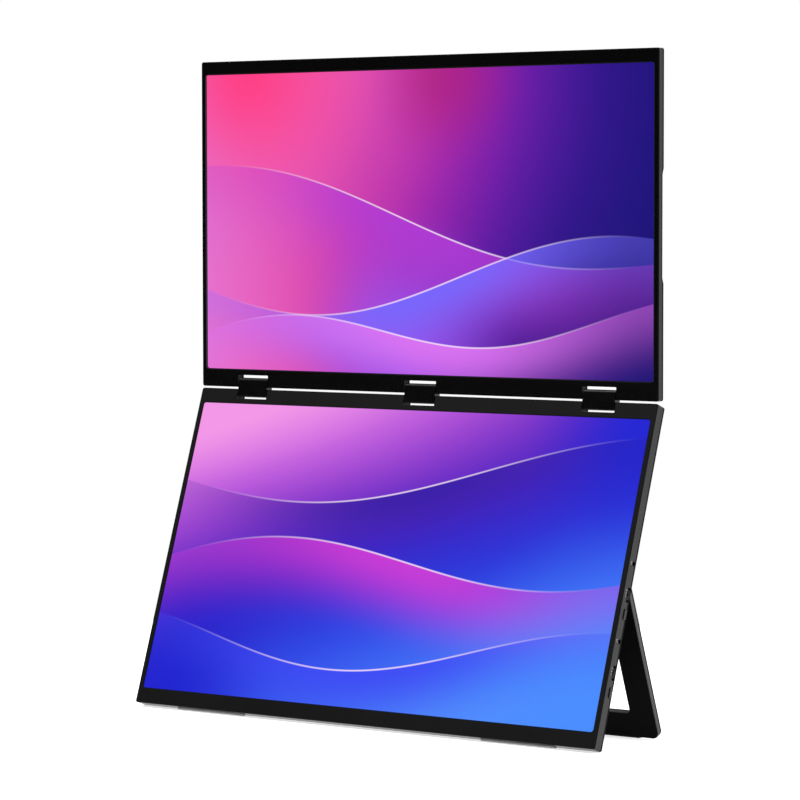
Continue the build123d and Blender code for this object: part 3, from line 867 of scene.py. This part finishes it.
def port_signs(number, shift):
    """A headphone arc with two ear pads beside the jack; a plus, a dot and a minus beside the wheel."""
    place = jack_place + shift
    lines = []

    def draw(centre, along, depth, width=sign_line):
        lines.append(stroke(place + centre + np.array(along), sign_depth + np.array(depth), width))

    draw(0.0, *arc(-phone_sweep, phone_sweep, phone_radius))
    for way in (-1, 1):
        draw(0.0, (way * pad_offset, way * pad_offset), pad_span, bold_line)
    draw(plus_place, (-sign_half, sign_half), (0.0, 0.0))
    draw(plus_place, (0.0, 0.0), (-sign_half, sign_half))
    draw(dot_place, (-dot_half, dot_half), (0.0, 0.0), dot_line)
    draw(minus_place, (-sign_half, sign_half), (0.0, 0.0), bold_line)
    return sheet_mesh(f"port_signs_{number}", lines)


def printed_grey():
    """Matt screen print, thin in places so that the wall's tone comes through."""
    place, _, fill = finish("printed_grey")
    thin = place.noise(6000.0, 2.0, 0.6)
    return fill(
        Base_Color=thin.blend(rgb(196, 196, 196), rgb(150, 150, 151)),
        Roughness=0.62 + (thin - 0.5) * 0.2,
        Normal=thin.bump(0.2, 0.00001),
        Specular_IOR_Level=0.2,
    )


print_grey = printed_grey()
for number, shift in enumerate((0.0, set_pitch), start=1):
    lip = collar(f"jack_lip_{number}", jack_place + shift, lip_profile)
    attach(lip, moulding, "lower_display")
    attach(port_signs(number, shift), print_grey, "lower_display")


# Controls: a ribbed rocker wheel and a small cap that stands proud of the wall, moulded in black and
# in dark grey, one pair for each picture. The cap's rim and the rib tips carry painted highlights, and
# the cap's sides painted shade.
rib_radius = 0.0058
rib_blur = 0.0001


def ribbed_wheel(number):
    """Black moulding, greyer where the distance from the wheel's axis reaches the rib tips: a painted
    highlight.
    """
    place, _, fill = finish(f"ribbed_wheel_{number}")
    axis = np.array(joints[f"wheel_rock_{number}"]["pos_m"])
    off_x = place.dot(sideways) - float(axis[0])
    off_a = place.dot(lower.along) - float(axis @ lower.along)
    tip = ((off_x * off_x + off_a * off_a) ** 0.5).past(rib_radius, rib_blur)
    fibre = place.noise(2600.0, 3.0, 0.6)
    # Painted highlight: the rib tips are painted greyer.
    wear_and_highlight = tip * (0.7 + (fibre - 0.5) * 0.8)
    return fill(
        Base_Color=wear_and_highlight.blend(rgb(5, 5, 5), rgb(27, 27, 28)),
        Roughness=0.5 + (fibre - 0.5) * 0.16 - tip * 0.08,
        Normal=fibre.bump(0.2, 0.00003),
        Specular_IOR_Level=0.12,
    )


def grey_cap():
    """Grey on top, a painted highlight along the bevelled rim, and painted shade, black, on the front
    bevel and down into the gap.
    """
    place, normal, fill = finish("grey_cap")
    fibre = place.noise(3800.0, 3.0, 0.6)
    out = normal.dot(sideways)
    # Painted shade on the front bevel, the sides and the gap; painted highlight along the rim.
    unshaded = out.step(0.3, 0.5) * (1 - normal.dot(-lower.back).step(0.3, 0.5))
    rim = unshaded * (1 - out.step(0.85, 0.95)) * (0.7 + (fibre - 0.5) * 0.6)
    top = fibre.blend(rgb(46, 46, 47), rgb(62, 62, 63))
    return fill(
        Base_Color=unshaded.blend(rgb(3, 3, 4), rim.blend(top, rgb(98, 98, 99))),
        Roughness=0.44 + (fibre - 0.5) * 0.16,
        Normal=fibre.bump(0.2, 0.00003),
        Specular_IOR_Level=0.13,
    )


for number in (1, 2):
    dress(ribbed_wheel(number), f"thumb_wheel_{number}")
dress(grey_cap(), "power_button_1", "power_button_2")


# Stand: a flat aluminium frame, anodised near-black on its faces, with its cut edges left brighter.
# It turns on two knuckles whose leaves are screwed to the back plate.
stand_angle = 40.7
film_depths = (0.0004, 0.0007)


def anodised_stand():
    """Black faces with a fine brushed grain; a cut edge shows dark grey metal up to the rear film.

    The film ends as a dark line: the rear two fifths of the edge, measured square to the frame.
    """
    place, normal, fill = finish("anodised_stand")
    brush = place.stretch(40.0, 1800.0, 1800.0).noise(1.0, 4.0, 0.6)
    patch = place.noise(20.0, 4.0)
    lean = radians(stand_angle) - lower_lean
    rear = np.array((0.0, cos(lean), sin(lean)))
    behind = place.dot(rear) - float(np.array(joints["stand_tilt"]["pos_m"]) @ rear)
    edge = (1 - normal.dot(rear).size().step(0.85, 0.97)) * (1 - behind.step(*film_depths))
    film = (brush * 0.5 + patch * 0.5).blend(rgb(3, 3, 4), rgb(7, 7, 8))
    cut = brush.blend(rgb(74, 74, 76), rgb(96, 96, 98))
    return fill(
        Base_Color=edge.blend(film, cut),
        Roughness=0.46 + (patch - 0.5) * 0.12 + (brush - 0.5) * 0.1,
        Normal=brush.bump(0.12, 0.00002),
        Specular_IOR_Level=0.03,
    )


dress(anodised_stand(), "stand_frame")
dress(paint, "stand_bracket_left", "stand_bracket_right")
dress(steel, "stand_pin_left", "stand_pin_right")

leaf_middle = 0.13
leaf_pitch = 0.01
leaf_along = 0.1260
leaf_thickness = 0.0014
leaf_back = lower.thickness + leaf_thickness
leaf_screw_radius = 0.0021
leaf_screw_rise = 0.0006
heads = [
    cross_head(lower, middle + shift, leaf_along, leaf_back, leaf_screw_radius, leaf_screw_rise)
    for middle in (-leaf_middle, leaf_middle)
    for shift in (-leaf_pitch, 0.0, leaf_pitch)
]
attach(sheet_mesh("leaf_screws", heads), zinc, "lower_display")


# Feet and pads: strips of clear silicone, clouded white, glued under the lower edge, and black rubber
# pads on the stand's end.
def soft_moulding(name, dark, rubbed_tone, rough, clear):
    """A soft moulding with a dull grain and paler rubbed patches, which may let light through."""
    place, _, fill = finish(name)
    grain = place.noise(2600.0, 3.0, 0.6)
    wear_and_highlight = place.noise(120.0, 4.0, 0.6).step(0.5, 0.7)
    return fill(
        Base_Color=wear_and_highlight.blend(rgb(*dark), rgb(*rubbed_tone)),
        Roughness=rough + (grain - 0.5) * 0.2,
        Normal=grain.bump(0.3, 0.00005),
        Specular_IOR_Level=0.25,
        Transmission_Weight=clear,
        IOR=1.41,
    )


silicone = soft_moulding("clear_silicone", (226, 227, 226), (238, 238, 236), rough=0.34, clear=0.85)
rubber = soft_moulding("black_rubber", (14, 14, 14), (34, 34, 34), rough=0.74, clear=0.0)
dress(silicone, "foot_left", "foot_right")
dress(rubber, "stand_pad_left", "stand_pad_right")


# Studio: a white floor disc that keeps a soft shadow, a pale dome that is dark behind the camera,
# and two large soft lamps.
floor_radius = 0.8
floor_drop = 0.0003
radius = np.linspace(0, floor_radius, 25)[:, None]
turn = full_turn(96)
level = np.full((len(radius), len(turn)), -floor_drop)
disc = np.stack((radius * np.cos(turn), radius * np.sin(turn), level), axis=-1)
floor = sheet_mesh("floor", [disc])
place, _, fill = finish("white_floor")
dust = place.noise(40.0, 3.0)
seen = place.node("LightPath", out="Is Camera Ray") + place.node("LightPath", out="Is Glossy Ray")
seen = seen + place.node("LightPath", out="Is Transmission Ray")
white = fill(
    Base_Color=dust.blend((0.90, 0.90, 0.90, 1), (0.94, 0.94, 0.94, 1)),
    Roughness=0.9,
    Specular_IOR_Level=0.0,
    Emission_Color=seen.blend((0, 0, 0, 1), (1, 1, 1, 1)),
    Emission_Strength=0.65,
)
floor.data.materials.append(white)

world = bpy.data.worlds.new("studio")
world.use_nodes = True
bpy.context.scene.world = world
sky = Wire(world.node_tree)
toward = sky.node("TexCoord", out="Generated")
rear = toward.dot((0.0, 1.0, 0.0)).step(-0.15, 0.25)
above = toward.dot((0.0, 0.0, 1.0)).step(0.1, 0.75)
room = rear.most(above * 0.8) * 0.87 + 0.03
shine = sky.node("LightPath", out="Is Glossy Ray") + sky.node("LightPath", out="Is Transmission Ray")
seen = sky.node("LightPath", out="Is Camera Ray").most(shine * rear)
strength = seen + (1 - seen) * room
background = world.node_tree.nodes["Background"]
background.inputs["Color"].default_value = (1, 1, 1, 1)
world.node_tree.links.new(strength.socket, background.inputs["Strength"])


def soft_lamp(name, place, target, size, power):
    """A square area lamp that faces a target."""
    data = bpy.data.lights.new(name, "AREA")
    data.size = size
    data.energy = power
    lamp = bpy.data.objects.new(name, data)
    aim = Vector(target) - Vector(place)
    turned = aim.to_track_quat("-Z", "Y").to_matrix().to_4x4()
    lamp.matrix_world = Matrix.Translation(place) @ turned
    bpy.context.scene.collection.objects.link(lamp)


soft_lamp("right_lamp", (1.9, -0.35, 0.9), (0, 0, 0.25), size=1.2, power=17.0)
soft_lamp("top_lamp", (-0.3, -0.5, 2.2), (0, 0, 0.2), size=1.6, power=33.0)


# Camera: a long lens well to the right of the object, a little above its middle. Its place and its
# three directions come from the pictures' corners.
camera_place = (1.50445, -2.12380, 0.32881)
right_way = (0.816086, 0.577775, 0.013380)
up_way = (-0.030228, 0.019554, 0.999352)
back_way = (0.577139, -0.815962, 0.033423)
camera = bpy.data.objects.new("camera", bpy.data.cameras.new("camera"))
camera.data.sensor_width = 36.0
camera.data.lens = 156.904
camera.data.clip_end = 50.0
turned = Matrix((right_way, up_way, back_way)).transposed().to_4x4()
camera.matrix_world = Matrix.Translation(camera_place) @ turned
bpy.context.scene.collection.objects.link(camera)
bpy.context.scene.camera = camera
bpy.context.scene.view_settings.view_transform = "Standard"
